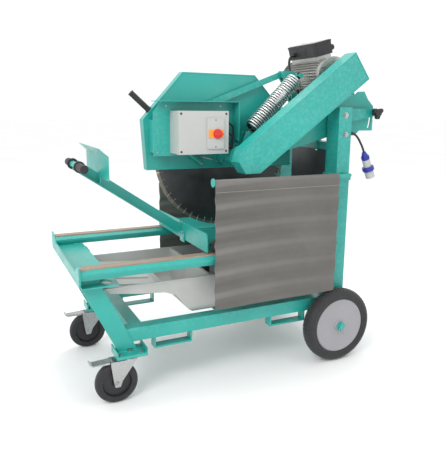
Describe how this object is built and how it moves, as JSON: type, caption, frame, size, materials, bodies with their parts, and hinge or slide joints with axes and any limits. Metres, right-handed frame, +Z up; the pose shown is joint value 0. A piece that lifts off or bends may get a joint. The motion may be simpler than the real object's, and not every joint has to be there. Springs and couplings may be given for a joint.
{
  "type": "masonry saw",
  "caption": "Wheeled masonry saw with a rail table and push trolley, a tilting blade head with belt drive and motor, splash curtains and a water tray.",
  "frame": {"origin": "floor under the middle of the machine's outline", "axes": "+X from the operator's end to the rear wheels, +Y across the machine away from the belt guard, +Z up"},
  "size_m": [1.667, 0.872, 1.6953],
  "materials": {
    "teal": "semi-gloss green paint",
    "zinc": "bright zinc plate",
    "steel": "bare ground steel",
    "black_rubber": "matte moulded rubber",
    "tyre": "matte rubber tread",
    "black_plastic": "matte moulded plastic",
    "curtain": "matte coated cloth",
    "tray": "matte moulded plastic",
    "box_grey": "fine textured moulded plastic",
    "blue_plastic": "smooth moulded plastic",
    "red_plastic": "smooth moulded plastic",
    "wheel_grey": "satin grey powder coat",
    "motor_alu": "die-cast, satin",
    "strip": "worn phenolic laminate"
  },
  "bodies": {
    "frame": {"base_frame": "teal", "front_legs": "teal", "lower_posts": "teal", "upper_posts": "teal", "table_frame": "teal", "wear_strips": "strip", "water_tray": "tray", "water_pump": "black_plastic", "rear_beam": "teal", "rear_flap": "black_rubber", "curtain_rods": "teal", "curtain_near": "curtain", "curtain_far": "curtain", "cord_gland": "black_plastic", "power_cord": "black_rubber", "plug_body": "box_grey", "plug_ring": "blue_plastic", "head_bracket": "teal", "pivot_shaft": "zinc", "rear_axle": "teal", "frame_fasteners": "zinc"},
    "arm_body": {"arm": "teal", "motor_body": "motor_alu", "terminal_box": "black_plastic", "belt_cover": "teal", "belt_back": "teal", "spindle_housing": "teal", "spindle_bearings": "steel", "v_belts": "black_rubber", "balance_spring": "zinc"},
    "rotor": {"motor_rotor": "steel"},
    "blade": {"saw_blade": "steel", "blade_shaft": "steel", "blade_flanges": "zinc"},
    "guard": {"blade_guard": "teal", "guard_handle": "black_rubber", "box_carrier": "teal", "control_box": "box_grey"},
    "knob": {"switch_knob": "red_plastic"},
    "link": {"link_bar": "teal"},
    "lock": {"star_knob": "black_plastic"},
    "trolley": {"trolley_frame": "teal", "fence_plates": "teal", "push_bar": "teal", "handle_grips": "black_rubber", "hand_guard": "teal"},
    "rollers_front": {"front_rollers": "zinc"},
    "rollers_rear": {"rear_rollers": "zinc"},
    "castor_near": {"castor_fork_near": "zinc"},
    "castor_wheel_near": {"castor_tyre_near": "tyre", "castor_hub_near": "black_plastic"},
    "pedal_near": {"brake_pedal_near": "zinc"},
    "rear_wheel_near": {"rear_tyre_near": "tyre", "rear_disc_near": "wheel_grey"},
    "castor_far": {"castor_fork_far": "zinc"},
    "castor_wheel_far": {"castor_tyre_far": "tyre", "castor_hub_far": "black_plastic"},
    "pedal_far": {"brake_pedal_far": "zinc"},
    "rear_wheel_far": {"rear_tyre_far": "tyre", "rear_disc_far": "wheel_grey"}
  },
  "joints": [
    {"name": "arm_pivot", "type": "hinge", "parent": "frame", "child": "arm_body", "pos_m": [0.545, 0, 1.305], "axis": [0, 1, 0], "range_deg": [-10, 0], "stiffness_Nm_per_rad": 850, "springref_deg": 40.11, "deforming": ["balance_spring"]},
    {"name": "guard_level", "type": "hinge", "parent": "arm_body", "child": "guard", "pos_m": [0, 0, 1.099], "axis": [0, 1, 0], "range_deg": [0, 10]},
    {"name": "link_swing", "type": "hinge", "parent": "frame", "child": "link", "pos_m": [0.322, 0, 1.514], "axis": [0, 1, 0], "range_deg": [-10, 0]},
    {"name": "blade_spin", "type": "hinge", "parent": "arm_body", "child": "blade", "pos_m": [0, 0, 1.099], "axis": [0, 1, 0], "continuous": true},
    {"name": "motor_spin", "type": "hinge", "parent": "arm_body", "child": "rotor", "pos_m": [0.545, 0, 1.503], "axis": [0, 1, 0], "continuous": true},
    {"name": "switch_turn", "type": "hinge", "parent": "guard", "child": "knob", "pos_m": [-0.131, -0.23, 1.215], "axis": [0, -1, 0], "range_deg": [0, 90]},
    {"name": "lock_turn", "type": "hinge", "parent": "frame", "child": "lock", "pos_m": [0.796, -0.236, 1.318], "axis": [0, -1, 0], "continuous": true},
    {"name": "trolley_slide", "type": "slide", "parent": "frame", "child": "trolley", "axis": [1, 0, 0], "range_m": [-0.56, 0]},
    {"name": "front_roller_spin", "type": "hinge", "parent": "trolley", "child": "rollers_front", "pos_m": [-0.188, 0, 0.6923], "axis": [0, 1, 0], "continuous": true},
    {"name": "rear_roller_spin", "type": "hinge", "parent": "trolley", "child": "rollers_rear", "pos_m": [0.262, 0, 0.6923], "axis": [0, 1, 0], "continuous": true},
    {"name": "castor_swivel_near", "type": "hinge", "parent": "frame", "child": "castor_near", "pos_m": [-0.617, -0.325, 0.21], "axis": [0, 0, 1], "continuous": true},
    {"name": "castor_roll_near", "type": "hinge", "parent": "castor_near", "child": "castor_wheel_near", "pos_m": [-0.684, -0.325, 0.1], "axis": [0, 1, 0], "continuous": true},
    {"name": "brake_press_near", "type": "hinge", "parent": "castor_near", "child": "pedal_near", "pos_m": [-0.703, -0.325, 0.205], "axis": [0, 1, 0], "range_deg": [-8, 0]},
    {"name": "rear_roll_near", "type": "hinge", "parent": "frame", "child": "rear_wheel_near", "pos_m": [0.51, -0.381, 0.2], "axis": [0, 1, 0], "continuous": true},
    {"name": "castor_swivel_far", "type": "hinge", "parent": "frame", "child": "castor_far", "pos_m": [-0.617, 0.325, 0.21], "axis": [0, 0, 1], "continuous": true},
    {"name": "castor_roll_far", "type": "hinge", "parent": "castor_far", "child": "castor_wheel_far", "pos_m": [-0.684, 0.325, 0.1], "axis": [0, 1, 0], "continuous": true},
    {"name": "brake_press_far", "type": "hinge", "parent": "castor_far", "child": "pedal_far", "pos_m": [-0.703, 0.325, 0.205], "axis": [0, 1, 0], "range_deg": [-8, 0]},
    {"name": "rear_roll_far", "type": "hinge", "parent": "frame", "child": "rear_wheel_far", "pos_m": [0.51, 0.381, 0.2], "axis": [0, 1, 0], "continuous": true}
  ],
  "couplings": [
    {"joint": "guard_level", "follows": "arm_pivot", "ratio": -1},
    {"joint": "link_swing", "follows": "arm_pivot", "ratio": 1},
    {"joint": "motor_spin", "follows": "blade_spin", "ratio": 2},
    {"joint": "front_roller_spin", "follows": "trolley_slide", "rad_per_m": 33.333},
    {"joint": "rear_roller_spin", "follows": "trolley_slide", "rad_per_m": 33.333}
  ]
}
